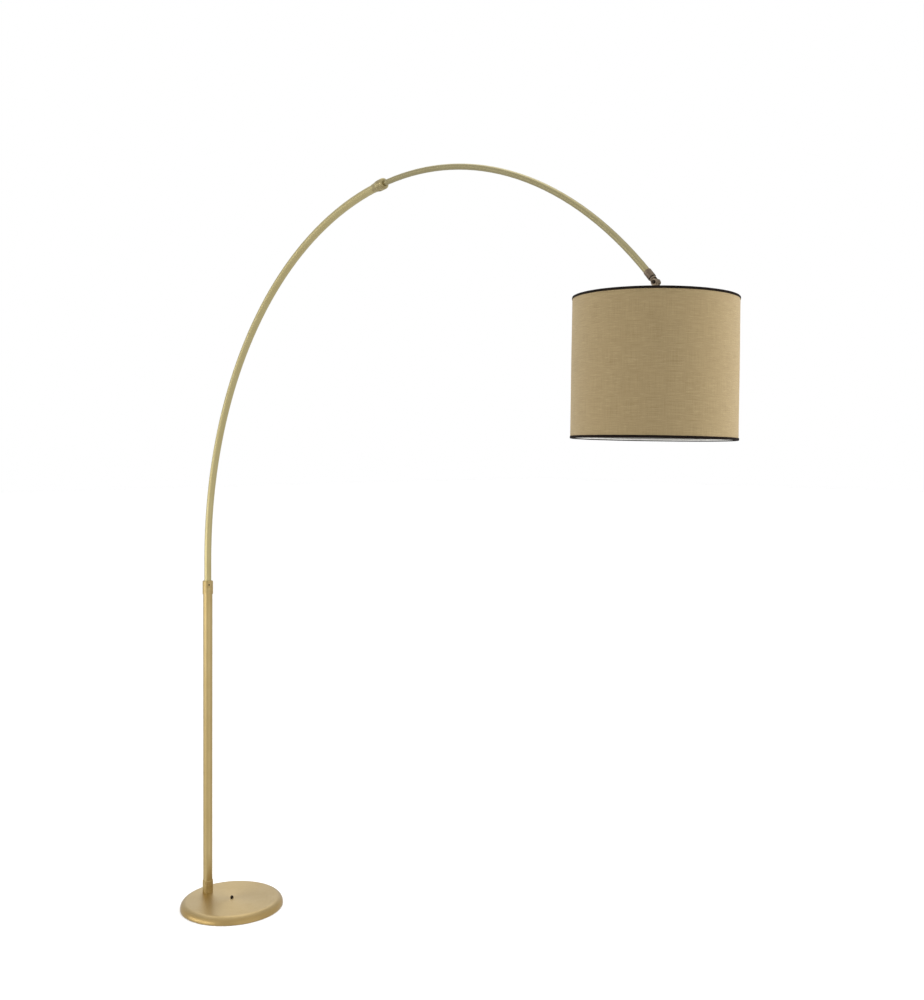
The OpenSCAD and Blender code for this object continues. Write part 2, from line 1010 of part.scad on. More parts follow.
base_pad();
base_weight();
base_cover();
centre_screw();
centre_washer();
centre_nut();
cable_gland();
terminal_block();
foot_nipple();
foot_washer();
foot_nut();
pole_foot_plug();
pole_ferrule();
pole_tube();
pole_collar();
swivel_bush();
collar_set_screw();
pole_cable();
arc_tube_lower();
joint_bell();
joint_liner();
joint_set_screw();
arc_cable_lower();
arc_tube_upper();
inner_guide();
end_sleeve();
swivel_nipple();
swivel_washer();
arc_cable_upper();
knuckle_upper();
knuckle_screw();
knuckle_nut();
knuckle_lower();
head_nipple();
holder_locknut();
holder_cap();
holder_body();
holder_insulator();
holder_thread_shell();
holder_contact();
shade_clamp_ring();
holder_lead();
bulb_cap();
bulb_glass();
shade_spider();
shade_bottom_ring();
shade_lining();
shade_linen();
shade_trim_top();
shade_trim_bottom();
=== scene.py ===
import json
import math

import bpy
from mathutils import Matrix, Vector


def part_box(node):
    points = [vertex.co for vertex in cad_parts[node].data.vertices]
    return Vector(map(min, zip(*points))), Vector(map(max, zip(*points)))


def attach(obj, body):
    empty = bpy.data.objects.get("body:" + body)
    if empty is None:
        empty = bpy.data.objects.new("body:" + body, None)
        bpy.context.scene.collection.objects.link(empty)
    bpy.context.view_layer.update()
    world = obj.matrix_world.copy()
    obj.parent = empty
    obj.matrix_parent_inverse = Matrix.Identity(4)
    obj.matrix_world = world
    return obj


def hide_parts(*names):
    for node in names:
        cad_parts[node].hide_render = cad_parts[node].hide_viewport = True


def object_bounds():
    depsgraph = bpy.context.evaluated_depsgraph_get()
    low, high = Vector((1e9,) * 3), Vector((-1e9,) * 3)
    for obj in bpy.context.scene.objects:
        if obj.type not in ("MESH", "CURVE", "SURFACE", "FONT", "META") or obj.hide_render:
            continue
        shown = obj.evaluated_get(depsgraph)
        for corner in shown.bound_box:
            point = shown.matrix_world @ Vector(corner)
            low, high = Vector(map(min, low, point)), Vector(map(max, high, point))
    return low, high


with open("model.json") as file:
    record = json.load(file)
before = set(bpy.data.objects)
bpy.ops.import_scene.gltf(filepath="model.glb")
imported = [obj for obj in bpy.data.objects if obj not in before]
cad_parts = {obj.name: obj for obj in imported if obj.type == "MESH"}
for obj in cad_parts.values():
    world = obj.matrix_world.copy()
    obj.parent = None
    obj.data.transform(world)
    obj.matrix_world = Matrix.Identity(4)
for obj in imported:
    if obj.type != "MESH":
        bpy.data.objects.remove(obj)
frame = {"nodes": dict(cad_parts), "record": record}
CAD_BOX = [list(corner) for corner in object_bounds()]

# ---------------------------------------------------------------- places and sizes, in metres
JOINTS = {j["name"]: j for j in frame["record"]["behaviour"]["joints"]}


def middle(node):
    """Centre of a node's box."""
    low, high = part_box(node)
    return (Vector(low) + Vector(high)) / 2


def joint_origin(name):
    return Vector(JOINTS[name]["pos_m"])


POLE_AXIS = middle("pole_tube")
ARC_CENTRE = joint_origin("arc_extend")
ARC_R = (middle("pole_tube") - ARC_CENTRE).xy.length
TILT_AT = joint_origin("shade_tilt")
SHADE_AXIS = (TILT_AT - middle("shade_linen")).normalized()
SHADE_R = (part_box("shade_trim_top")[1][0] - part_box("shade_trim_top")[0][0]) / 2
COVER_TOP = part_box("base_cover")[1][2]
TRIM_H = 0.005
TRIM_T = 0.0008
LINEN_T = 0.0007
SHADE_TOP = -(TILT_AT - middle("shade_trim_top")).dot(SHADE_AXIS) + TRIM_H / 2
SHADE_BOTTOM = -(TILT_AT - middle("shade_trim_bottom")).dot(SHADE_AXIS) - TRIM_H / 2
SEAM_AZIMUTH = math.radians(150)

# ---------------------------------------------------------------- camera
CAMERA_AT = Vector((3.1254, -1.7722, 1.4027))
CAMERA_AZIMUTH = math.radians(139.24)
CAMERA_LENS = 41.81
CAMERA_SHIFT = -0.0569
AHEAD = Vector((math.cos(CAMERA_AZIMUTH), math.sin(CAMERA_AZIMUTH), 0))
RIGHT = Vector((AHEAD.y, -AHEAD.x, 0))


def make_camera():
    data = bpy.data.cameras.new("camera")
    data.lens = CAMERA_LENS
    data.sensor_width = 36
    data.shift_y = CAMERA_SHIFT
    data.clip_start = 0.05
    data.clip_end = 200
    cam = bpy.data.objects.new("camera", data)
    bpy.context.scene.collection.objects.link(cam)
    cam.location = CAMERA_AT
    cam.rotation_mode = "QUATERNION"
    cam.rotation_quaternion = AHEAD.to_track_quat("-Z", "Y")
    bpy.context.scene.camera = cam


# ---------------------------------------------------------------- node graph helper
class Graph:
    """Short calls for building a material's nodes."""

    def __init__(self, name, tree=None):
        if tree is None:
            self.mat = bpy.data.materials.new(name)
            self.mat.use_nodes = True
            tree = self.mat.node_tree
            self.shader = tree.nodes["Principled BSDF"]
        self.tree = tree

    def node(self, kind, **settings):
        made = self.tree.nodes.new(kind)
        for key, value in settings.items():
            setattr(made, key, value)
        return made

    def feed(self, socket, value):
        if isinstance(value, bpy.types.NodeSocket):
            self.tree.links.new(value, socket)
        else:
            socket.default_value = value

    def math(self, operation, a, b=0.0):
        made = self.node("ShaderNodeMath", operation=operation)
        self.feed(made.inputs[0], a)
        self.feed(made.inputs[1], b)
        return made.outputs[0]

    def vector(self, operation, a, b=(0, 0, 0)):
        made = self.node("ShaderNodeVectorMath", operation=operation)
        self.feed(made.inputs[0], a)
        self.feed(made.inputs[1], b)
        return made.outputs["Value" if operation in ("DOT_PRODUCT", "LENGTH") else "Vector"]

    def split(self, value):
        made = self.node("ShaderNodeSeparateXYZ")
        self.feed(made.inputs[0], value)
        return made.outputs

    def join(self, x, y, z):
        made = self.node("ShaderNodeCombineXYZ")
        for socket, value in zip(made.inputs, (x, y, z)):
            self.feed(socket, value)
        return made.outputs[0]

    def place(self):
        return self.node("ShaderNodeTexCoord").outputs["Object"]

    def noise(self, where, scale=1.0, detail=3.0, rough=0.55):
        made = self.node("ShaderNodeTexNoise")
        self.feed(made.inputs["Vector"], where)
        self.feed(made.inputs["Scale"], scale)
        self.feed(made.inputs["Detail"], detail)
        self.feed(made.inputs["Roughness"], rough)
        return made.outputs["Fac"]

    def cells(self, where, scale):
        made = self.node("ShaderNodeTexVoronoi")
        self.feed(made.inputs["Vector"], where)
        self.feed(made.inputs["Scale"], scale)
        return made.outputs["Distance"]

    def span(self, value, low, high, to_low, to_high, ease="LINEAR"):
        made = self.node("ShaderNodeMapRange", clamp=True, interpolation_type=ease)
        for socket, number in zip(made.inputs, (value, low, high, to_low, to_high)):
            self.feed(socket, number)
        return made.outputs[0]

    def blend(self, factor, a, b):
        made = self.node("ShaderNodeMix", data_type="RGBA")
        self.feed(made.inputs[0], factor)
        self.feed(made.inputs[6], a)
        self.feed(made.inputs[7], b)
        return made.outputs[2]

    def bump(self, height, distance, strength=1.0):
        made = self.node("ShaderNodeBump")
        self.feed(made.inputs["Strength"], strength)
        self.feed(made.inputs["Distance"], distance)
        self.feed(made.inputs["Height"], height)
        self.feed(self.shader.inputs["Normal"], made.outputs[0])

    def set(self, **sockets):
        for key, value in sockets.items():
            self.feed(self.shader.inputs[key.replace("_", " ")], value)

    def tangent(self, vector):
        made = self.node("ShaderNodeVectorTransform", vector_type="VECTOR",
                         convert_from="OBJECT", convert_to="WORLD")
        self.feed(made.inputs[0], vector)
        self.feed(self.shader.inputs["Tangent"], made.outputs[0])


def rgba(r, g, b):
    return (r, g, b, 1.0)


# ---------------------------------------------------------------- metal
BRASS = rgba(0.61, 0.47, 0.245)
BRASS_WARM = rgba(0.53, 0.395, 0.185)
# painted reflection: warmer, darker brass tone for the base cover's rim
BRASS_RIM_PAINTED_REFLECTION = rgba(0.62, 0.43, 0.17)
TUBE = rgba(0.68, 0.59, 0.31)
TUBE_WARM = rgba(0.61, 0.51, 0.24)
# painted shade: a darker copy of the arc tube's brass, for the dimmer light the extension tube gets
SHADED_THIN_TUBE = rgba(0.50, 0.445, 0.25)
SHADED_THIN_TUBE_WARM = rgba(0.45, 0.385, 0.20)
POLE = rgba(0.69, 0.53, 0.25)
POLE_WARM = rgba(0.60, 0.44, 0.18)
BRASS_DULL = rgba(0.42, 0.34, 0.17)
BRONZE = rgba(0.20, 0.155, 0.115)
BRONZE_WORN = rgba(0.33, 0.26, 0.185)


def arc_space(g):
    """Position along and across the arc, and the way round the tube."""
    x, y, z = g.split(g.vector("SUBTRACT", g.place(), tuple(ARC_CENTRE)))
    out = g.math("SQRT", g.math("ADD", g.math("MULTIPLY", x, x), g.math("MULTIPLY", z, z)))
    across = g.math("SUBTRACT", out, ARC_R)
    along = g.math("MULTIPLY", g.math("ARCTAN2", z, g.math("MULTIPLY", x, -1.0)), ARC_R)
    back = g.math("MULTIPLY", y, -1.0)
    round_it = g.join(
        g.math("MULTIPLY", g.math("DIVIDE", x, out), back),
        across,
        g.math("MULTIPLY", g.math("DIVIDE", z, out), back),
    )
    return g.join(across, y, along), round_it


def pole_space(g):
    """Position across and along the upright pole, and the way round it."""
    where = g.vector("SUBTRACT", g.place(), (POLE_AXIS.x, POLE_AXIS.y, 0))
    x, y, _ = g.split(where)
    return where, g.join(g.math("MULTIPLY", y, -1.0), x, 0.0)


def brushed_tube(name, space, colours=(TUBE, TUBE_WARM), rough=(0.26, 0.38)):
    """Satin brass tube, brushed along its length."""
    g = Graph(name)
    where, round_it = space(g)
    lines = g.vector("MULTIPLY", where, (1, 1, 0.012))
    fine = g.noise(lines, 5200, 2, 0.6)
    coarse = g.noise(lines, 1500, 3, 0.6)
    smudge = g.noise(where, 9, 4, 0.6)
    streak = g.math("ADD", g.math("MULTIPLY", fine, 0.6), g.math("MULTIPLY", coarse, 0.4))
    tone = g.blend(g.span(smudge, 0.35, 0.7, 0, 0.7), colours[0], colours[1])
    shade = g.blend(g.span(streak, 0.35, 0.65, 0.0, 0.10), tone, rgba(0.16, 0.11, 0.05))
    g.set(
        Base_Color=shade,
        Metallic=1.0,
        Roughness=g.math(
            "ADD",
            g.span(streak, 0.3, 0.7, rough[0], rough[1]),
            g.span(smudge, 0.4, 0.75, 0.0, 0.06),
        ),
        Anisotropic=0.45,
    )
    g.tangent(round_it)
    g.bump(streak, 0.000004, 0.3)
    return g.mat


def turned(name, space, colours=(TUBE, TUBE_WARM), rough=(0.32, 0.44), pitch=0.00045):
    """Lathe-turned metal with fine rings across its axis."""
    g = Graph(name)
    where, _ = space(g)
    rings = g.noise(g.vector("MULTIPLY", where, (0.02, 0.02, 1)), 1 / pitch, 2, 0.6)
    smudge = g.noise(where, 60, 3, 0.6)
    tone = g.blend(g.span(smudge, 0.35, 0.7, 0, 1), colours[0], colours[1])
    g.set(
        Base_Color=g.blend(g.span(rings, 0.4, 0.7, 0, 0.25), tone, rgba(0.12, 0.08, 0.04)),
        Metallic=1.0,
        Roughness=g.span(g.math("ADD", rings, smudge), 0.7, 1.3, rough[0], rough[1]),
    )
    g.bump(rings, 0.00001, 0.4)
    return g.mat


def spun_disc(name):
    """Spun brass cover: rings round the centre on top, and highlights that run out from it."""
    g = Graph(name)
    where = g.place()
    x, y, z = g.split(where)
    out = g.math("SQRT", g.math("ADD", g.math("MULTIPLY", x, x), g.math("MULTIPLY", y, y)))
    angle = g.math("ARCTAN2", y, x)
    path = g.join(g.math("SUBTRACT", out, z), g.math("MULTIPLY", angle, 0.004), 0.0)
    fine = g.noise(path, 4200, 2, 0.6)
    coarse = g.noise(path, 620, 3, 0.6)
    rings = g.math("ADD", g.math("MULTIPLY", fine, 0.55), g.math("MULTIPLY", coarse, 0.45))
    smudge = g.noise(where, 11, 4, 0.6)
    tone = g.blend(g.span(smudge, 0.35, 0.7, 0, 0.6), BRASS, BRASS_WARM)
    # painted reflection: the rim below the top edge is tinted warmer and darker for the reflection it shows
    tone = g.blend(g.span(z, COVER_TOP - 0.001, COVER_TOP - 0.009, 0, 0.9), tone, BRASS_RIM_PAINTED_REFLECTION)
    g.set(
        Base_Color=g.blend(g.span(rings, 0.36, 0.66, 0, 0.2), tone, rgba(0.2, 0.14, 0.07)),
        Metallic=1.0,
        Roughness=g.math(
            "ADD",
            g.span(rings, 0.3, 0.7, 0.26, 0.36),
            g.span(smudge, 0.4, 0.75, 0.0, 0.06),
        ),
        Anisotropic=0.7,
    )
    g.tangent(g.join(x, y, 0.0))
    g.bump(rings, 0.00002, 0.45)
    return g.mat


def plain_space(g):
    where = g.place()
    return where, where


def dark_metal(name):
    """Blackened screw steel, worn bright on its edges."""
    g = Graph(name)
    where = g.place()
    grain = g.noise(where, 900, 4, 0.6)
    worn = g.noise(where, 180, 3, 0.6)
    g.set(
        Base_Color=g.blend(
            g.span(worn, 0.45, 0.75, 0, 0.7),
            rgba(0.028, 0.02, 0.014),
            rgba(0.13, 0.09, 0.05),
        ),
        Metallic=0.85,
        Roughness=g.span(grain, 0.3, 0.7, 0.3, 0.5),
    )
    g.bump(grain, 0.00003, 0.4)
    return g.mat


def zinc(name):
    """Zinc-plated steel with a faint spangle."""
    g = Graph(name)
    where = g.place()
    spangle = g.cells(where, 420)
    haze = g.noise(where, 90, 4, 0.6)
    g.set(
        Base_Color=g.blend(g.span(haze, 0.35, 0.7, 0, 1), rgba(0.55, 0.56, 0.57), rgba(0.40, 0.41, 0.42)),
        Metallic=1.0,
        Roughness=g.span(g.math("ADD", spangle, haze), 0.4, 1.2, 0.26, 0.46),
    )
    g.bump(spangle, 0.00003, 0.3)
    return g.mat


def cast_iron(name):
    """Sand-cast weight with a dull, pitted skin."""
    g = Graph(name)
    where = g.place()
    pits = g.cells(where, 520)
    skin = g.noise(where, 140, 5, 0.65)
    g.set(
        Base_Color=g.blend(g.span(skin, 0.4, 0.7, 0, 1), rgba(0.05, 0.05, 0.052), rgba(0.10, 0.085, 0.07)),
        Metallic=0.6,
        Roughness=g.span(skin, 0.3, 0.7, 0.62, 0.85),
    )
    g.bump(g.math("ADD", pits, skin), 0.0004, 0.7)
    return g.mat


# ---------------------------------------------------------------- plastic, glass and rubber
def moulded(name, light, dark, rough=(0.35, 0.5), grain_size=1600, relief=0.00003):
    """Moulded plastic or rubber with a fine spark-eroded grain."""
    g = Graph(name)
    where = g.place()
    grain = g.noise(where, grain_size, 3, 0.6)
    flow = g.noise(where, 70, 3, 0.5)
    g.set(
        Base_Color=g.blend(g.span(flow, 0.35, 0.7, 0, 1), light, dark),
        Roughness=g.span(g.math("ADD", grain, flow), 0.7, 1.3, rough[0], rough[1]),
    )
    g.bump(grain, relief, 0.5)
    return g.mat


def porcelain(name):
    g = Graph(name)
    where = g.place()
    ripple = g.noise(where, 160, 3, 0.5)
    g.set(
        Base_Color=g.blend(g.span(ripple, 0.35, 0.7, 0, 1), rgba(0.80, 0.79, 0.75), rgba(0.72, 0.70, 0.64)),
        Roughness=g.span(ripple, 0.3, 0.7, 0.12, 0.22),
    )
    g.bump(ripple, 0.0001, 0.4)
    return g.mat


def opal_glass(name):
    """Frosted bulb: milky, with a soft gloss."""
    g = Graph(name)
    where = g.place()
    haze = g.noise(where, 45, 3, 0.5)
    g.set(
        Base_Color=g.blend(g.span(haze, 0.35, 0.7, 0, 1), rgba(0.86, 0.86, 0.84), rgba(0.80, 0.80, 0.77)),
        Roughness=g.span(haze, 0.3, 0.7, 0.2, 0.28),
        Subsurface_Weight=0.25,
        Coat_Weight=0.35,
    )
    g.shader.inputs["Subsurface Radius"].default_value = (0.004, 0.004, 0.004)
    return g.mat


# ---------------------------------------------------------------- cloth
LINEN_LIGHT = rgba(0.51, 0.39, 0.205)
LINEN_DARK = rgba(0.33, 0.24, 0.112)
THREAD = 0.00085
TAPE = rgba(0.006, 0.004, 0.003)
TAPE_LIGHT = rgba(0.02, 0.013, 0.009)


def drum_space(g, radius):
    """Distance round the drum and height, in metres, from the shade's axis."""
    where = g.vector("SUBTRACT", g.place(), tuple(TILT_AT))
    x, y, z = (g.vector("DOT_PRODUCT", where, tuple(side)) for side in shade_sides())
    return g.math("MULTIPLY", g.math("ARCTAN2", y, x), radius), z


def linen_cloth(name, radius):
    """Plain-woven linen with thick and thin yarns, mostly across the shade."""
    g = Graph(name)
    u, v = drum_space(g, radius)
    turn = 2 * math.pi / THREAD
    weft = g.noise(g.join(g.math("MULTIPLY", u, 26), g.math("MULTIPLY", v, 1 / THREAD), 0.0), 1, 2, 0.6)
    warp = g.noise(g.join(g.math("MULTIPLY", u, 1 / THREAD), g.math("MULTIPLY", v, 22), 7.0), 1, 2, 0.6)
    slub = g.noise(g.join(g.math("MULTIPLY", u, 60), g.math("MULTIPLY", v, 480), 3.0), 1, 2, 0.6)
    bolt = g.noise(g.join(g.math("MULTIPLY", u, 7), g.math("MULTIPLY", v, 9), 5.0), 1, 3, 0.5)
    wave_u = g.math("SINE", g.math("MULTIPLY", u, turn / 2))
    wave_v = g.math("SINE", g.math("MULTIPLY", v, turn / 2))
    over = g.math("MULTIPLY", wave_u, wave_v)
    crossing = g.math("MULTIPLY", g.math("ABSOLUTE", wave_v), g.math("ABSOLUTE", wave_u))
    relief = g.math("ADD", g.math("MULTIPLY", crossing, 0.6), g.math("MULTIPLY", over, 0.25))
    yarn = g.math("ADD", g.math("MULTIPLY", weft, 0.62), g.math("MULTIPLY", warp, 0.38))
    tone = g.blend(g.span(yarn, 0.32, 0.68, 0, 1), LINEN_DARK, LINEN_LIGHT)
    tone = g.blend(g.span(slub, 0.55, 0.8, 0, 0.5), tone, rgba(0.64, 0.50, 0.28))
    # painted shade: the cloth is darkened in the hollows between the yarns, where the relief is low
    tone = g.blend(g.span(relief, 0.0, 0.5, 0.3, 0.0), tone, rgba(0.15, 0.10, 0.045))
    tone = g.blend(g.span(bolt, 0.35, 0.7, 0.0, 0.12), tone, rgba(0.40, 0.28, 0.13))
    g.set(
        Base_Color=tone,
        Roughness=g.span(yarn, 0.3, 0.7, 0.72, 0.92),
        Sheen_Weight=0.12,
        Sheen_Roughness=0.5,
        Specular_IOR_Level=0.3,
    )
    g.bump(g.math("ADD", relief, g.math("MULTIPLY", g.math("ADD", yarn, slub), 0.7)), 0.00035, 0.7)
    return g.mat


def ribbed_tape(name, radius):
    """Dark bias tape with fine ribs across its width."""
    g = Graph(name)
    u, v = drum_space(g, radius)
    ribs = g.math("ABSOLUTE", g.math("SINE", g.math("MULTIPLY", u, math.pi / 0.0007)))
    fuzz = g.noise(g.join(g.math("MULTIPLY", u, 900), g.math("MULTIPLY", v, 900), 0.0), 1, 3, 0.6)
    fade = g.noise(g.join(g.math("MULTIPLY", u, 30), g.math("MULTIPLY", v, 60), 2.0), 1, 3, 0.6)
    g.set(
        Base_Color=g.blend(g.span(g.math("ADD", fuzz, fade), 0.8, 1.3, 0, 1), TAPE, TAPE_LIGHT),
        Roughness=g.span(fuzz, 0.3, 0.7, 0.6, 0.8),
        Specular_IOR_Level=0.08,
    )
    g.bump(g.math("ADD", ribs, g.math("MULTIPLY", fuzz, 0.6)), 0.00015, 0.6)
    return g.mat


def styrene(name):
    """Pale lining film, greyed down here as painted shade for the dim inside of the drum, with faint waviness
    where it is laminated.
    """
    g = Graph(name)
    where = g.place()
    grain = g.noise(where, 1300, 2, 0.5)
    wave = g.noise(where, 34, 3, 0.5)
    g.set(
        # painted shade: the white lining's colour is greyed to stand for the dim light inside the shade
        Base_Color=g.blend(g.span(wave, 0.35, 0.7, 0, 1), rgba(0.46, 0.45, 0.42), rgba(0.42, 0.41, 0.38)),
        Roughness=g.span(g.math("ADD", grain, wave), 0.7, 1.3, 0.48, 0.62),
        Specular_IOR_Level=0.12,
    )
    g.bump(g.math("ADD", g.math("MULTIPLY", grain, 0.1), wave), 0.0004, 0.35)
    return g.mat


def felt(name):
    """Dense pressed felt with short loose fibres."""
    g = Graph(name)
    where = g.place()
    fibre = g.noise(where, 700, 6, 0.7)
    clump = g.noise(where, 90, 3, 0.6)
    g.set(
        Base_Color=g.blend(
            g.span(g.math("ADD", fibre, clump), 0.75, 1.25, 0, 1),
            rgba(0.018, 0.016, 0.015),
            rgba(0.06, 0.052, 0.046),
        ),
        Roughness=0.95,
        Sheen_Weight=0.3,
        Sheen_Roughness=0.6,
        Specular_IOR_Level=0.2,
    )
    g.bump(fibre, 0.0006, 0.8)
    return g.mat


# ---------------------------------------------------------------- which node has which finish
def dress_nodes():
    finishes = {
        brushed_tube("brass_pole", pole_space, (POLE, POLE_WARM)): ["pole_tube"],
        brushed_tube("brass_arc", arc_space): ["arc_tube_lower"],
        # painted shade: the extension tube uses the darkened copy of the arc brass
        brushed_tube("brass_extension_shaded", arc_space, (SHADED_THIN_TUBE, SHADED_THIN_TUBE_WARM)): ["arc_tube_upper"],
        turned("brass_turned", pole_space, (POLE, POLE_WARM)): ["pole_ferrule", "pole_collar"],
        turned("brass_bell", arc_space, (TUBE, BRASS_DULL)): ["joint_bell"],
        turned("bronze_arc", arc_space, (BRONZE_WORN, BRONZE), (0.3, 0.45)): ["end_sleeve"],
        turned("bronze_knuckle", plain_space, (BRONZE_WORN, BRONZE), (0.3, 0.45)):
            ["knuckle_upper", "knuckle_lower"],
        turned("brass_nut", plain_space, (BRASS_DULL, BRONZE_WORN), (0.3, 0.45)): ["knuckle_nut"],
        spun_disc("brass_spun"): ["base_cover"],
        dark_metal("dark_screw"): ["centre_screw", "collar_set_screw", "joint_set_screw", "knuckle_screw"],
        zinc("zinc_steel"):
            ["centre_washer", "centre_nut", "foot_nipple", "foot_washer", "foot_nut", "pole_foot_plug",
             "swivel_nipple", "head_nipple", "holder_locknut", "bulb_cap"],
        cast_iron("cast_iron"): ["base_weight"],
        moulded("black_plastic", rgba(0.022, 0.021, 0.02), rgba(0.035, 0.033, 0.031)):
            ["cable_gland", "joint_liner", "swivel_washer", "holder_cap", "holder_body", "shade_clamp_ring"],
        moulded("white_nylon", rgba(0.72, 0.71, 0.67), rgba(0.62, 0.60, 0.55)):
            ["terminal_block", "swivel_bush", "inner_guide"],
        porcelain("porcelain"): ["holder_insulator"],
        turned("contact_brass", plain_space, (rgba(0.70, 0.55, 0.25), rgba(0.60, 0.45, 0.20))):
            ["holder_thread_shell", "holder_contact"],
        moulded("flex_jacket", rgba(0.03, 0.028, 0.026), rgba(0.05, 0.046, 0.042), (0.45, 0.6)):
            ["pole_cable", "arc_cable_lower", "arc_cable_upper", "holder_lead"],
        moulded("frame_paint", rgba(0.74, 0.73, 0.70), rgba(0.66, 0.65, 0.61), (0.3, 0.42), 900):
            ["shade_spider", "shade_bottom_ring"],
        # painted shade: the lining gets the greyed-down film colour
        styrene("lining_film_shaded"): ["shade_lining"],
    }
    for material, nodes in finishes.items():
        for node in nodes:
            mesh = frame["nodes"][node].data
            mesh.materials.clear()
            mesh.materials.append(material)


# ---------------------------------------------------------------- pieces built here
def shade_sides():
    """Directions of the shade's frame: Z along its axis, -X towards the seam."""
    up = SHADE_AXIS
    seam = Vector((math.cos(SEAM_AZIMUTH), math.sin(SEAM_AZIMUTH), 0))
    x = -(seam - up * seam.dot(up)).normalized()
    return x, up.cross(x), up


def shade_frame():
    """Where that frame is: its origin is at the tilt screw."""
    placed = Matrix(shade_sides()).transposed().to_4x4()
    placed.translation = TILT_AT
    return placed


def add_piece(name, points, faces, placed, material, body):
    mesh = bpy.data.meshes.new(name)
    mesh.from_pydata([placed @ Vector(point) for point in points], [], faces)
    mesh.validate()
    mesh.shade_smooth()
    mesh.materials.append(material)
    made = bpy.data.objects.new(name, mesh)
    bpy.context.scene.collection.objects.link(made)
    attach(made, body)
    return made


def revolved(profile, steps, radius_at=None):
    """Points and faces of a closed outline turned round Z. The outline is (radius, height) pairs."""
    points, faces = [], []
    n = len(profile)
    for i in range(steps):
        turn = 2 * math.pi * i / steps
        grow = radius_at(turn) if radius_at else 0
        for r, z in profile:
            points.append(((r + grow) * math.cos(turn), (r + grow) * math.sin(turn), z))
    for i in range(steps):
        for k in range(n):
            a, b = i * n + k, i * n + (k + 1) % n
            c, d = ((i + 1) % steps) * n + (k + 1) % n, ((i + 1) % steps) * n + k
            faces.append((a, d, c, b))
    return points, faces


LAP = 0.012
ROUND_STEPS = 420
HEIGHT_STEPS = 70
EDGE_STEPS = 360
RIPPLE = 0.00025
RIPPLE_HEIGHT = 0.27
TAPE_DEPTH = 0.0035
TAPE_CORNER = 0.0006
TAPE_CUT = 0.0004
TAPE_TURN_STEPS = 12


def linen_drum():
    """The linen, laid round the drum from the seam with its end lapped over its start."""
    outer = SHADE_R - TRIM_T
    low, high = SHADE_BOTTOM + TRIM_T, SHADE_TOP - TRIM_T
    lap_turn = LAP / outer
    whole = 2 * math.pi + lap_turn
    points, faces = [], []
    row = HEIGHT_STEPS + 1
    for i in range(ROUND_STEPS + 1):
        turn = -math.pi - lap_turn / 2 + whole * i / ROUND_STEPS
        to_end = (math.pi + lap_turn / 2 - turn) * outer
        lapped = LINEN_T * max(0.0, min(1.0, (LAP * 2 - to_end) / LAP))
        for side in (0, 1):
            for k in range(row):
                z = low + (high - low) * k / HEIGHT_STEPS
                t = (k / HEIGHT_STEPS) * (1 - k / HEIGHT_STEPS) * 4
                soft = RIPPLE * t * math.sin(3 * turn + 1.3) * math.sin(5 * z / RIPPLE_HEIGHT + turn)
                r = outer + lapped * 1.05 + soft - side * LINEN_T
                points.append((r * math.cos(turn), r * math.sin(turn), z))
    step = 2 * row
    for i in range(ROUND_STEPS):
        for k in range(HEIGHT_STEPS):
            a, b = i * step + k, (i + 1) * step + k
            faces.append((a, b, b + 1, a + 1))
            a, b = a + row, b + row
            faces.append((a, a + 1, b + 1, b))
        a, b = i * step, (i + 1) * step
        faces.append((a, a + row, b + row, b))
        a, b = a + row - 1, b + row - 1
        faces.append((a, b, b + row, a + row))
    for i, flip in ((0, False), (ROUND_STEPS, True)):
        for k in range(HEIGHT_STEPS):
            a = i * step + k
            face = (a, a + 1, a + 1 + row, a + row)
            faces.append(face[::-1] if flip else face)
    cloth = linen_cloth("linen", outer)
    piece = add_piece("linen_drum", points, faces, shade_frame(), cloth, "head")
    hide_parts("shade_linen")
    return piece


def binding(name, node, edge, up):
    """Tape folded over one edge of the shade, rounded where it turns and pressed flat on both sides."""
    outer, inner = SHADE_R, SHADE_R - TAPE_DEPTH
    turn_r = (outer - inner) / 2
    mid = (outer + inner) / 2
    profile = []
    for i in range(TAPE_TURN_STEPS + 1):
        a = math.pi * i / TAPE_TURN_STEPS
        profile.append((mid + turn_r * math.cos(a), turn_r * 0.75 * math.sin(a) - turn_r * 0.75))
    profile += [
        (inner, -TRIM_H + TAPE_CORNER),
        (inner + TRIM_T * 0.6, -TRIM_H),
        (inner + TRIM_T, -TRIM_H + TAPE_CUT),
        (inner + TRIM_T, -TRIM_T * 1.4),
        (outer - TRIM_T, -TRIM_T * 1.4),
        (outer - TRIM_T, -TRIM_H + TAPE_CUT),
        (outer - TRIM_T * 0.6, -TRIM_H),
        (outer, -TRIM_H + TAPE_CORNER),
    ]
    if not up:
        profile = [(r, -z) for r, z in reversed(profile)]
    profile = [(r, z + edge) for r, z in profile]

    def wander(turn):
        return 0.00012 * math.sin(11 * turn + 0.4) + 0.00008 * math.sin(29 * turn)

    points, faces = revolved(profile, EDGE_STEPS, radius_at=wander)
    piece = add_piece(name, points, faces, shade_frame(), ribbed_tape(name, SHADE_R), "head")
    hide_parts(node)
    return piece


def make_shade():
    drum = linen_drum()
    top = binding("trim_top", "shade_trim_top", SHADE_TOP, True)
    bottom = binding("trim_bottom", "shade_trim_bottom", SHADE_BOTTOM, False)


def make_bulb():
    """Blown opal bulb with a smooth neck."""
    ball_r, neck_r = 0.030, 0.0128
    ball_z, neck_z = -0.130, -0.0822
    outline = []
    for i in range(25):
        a = -math.pi / 2 + math.pi * 0.78 * i / 24
        outline.append((max(ball_r * math.cos(a), 0.0001), ball_z + ball_r * math.sin(a)))
    r0, z0 = outline[-1]
    for i in range(1, 11):
        t = i / 10
        ease = t * t * (3 - 2 * t)
        outline.append((r0 + (neck_r - r0) * ease, z0 + (neck_z - z0) * t))
    inner = [(max(r - 0.001, 0.00005), z + (0.001 if z < ball_z else 0)) for r, z in reversed(outline)]
    points, faces = revolved(outline + inner, 96)
    glass = opal_glass("opal_glass")
    piece = add_piece("bulb_globe", points, faces, shade_frame(), glass, "head")
    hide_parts("bulb_glass")


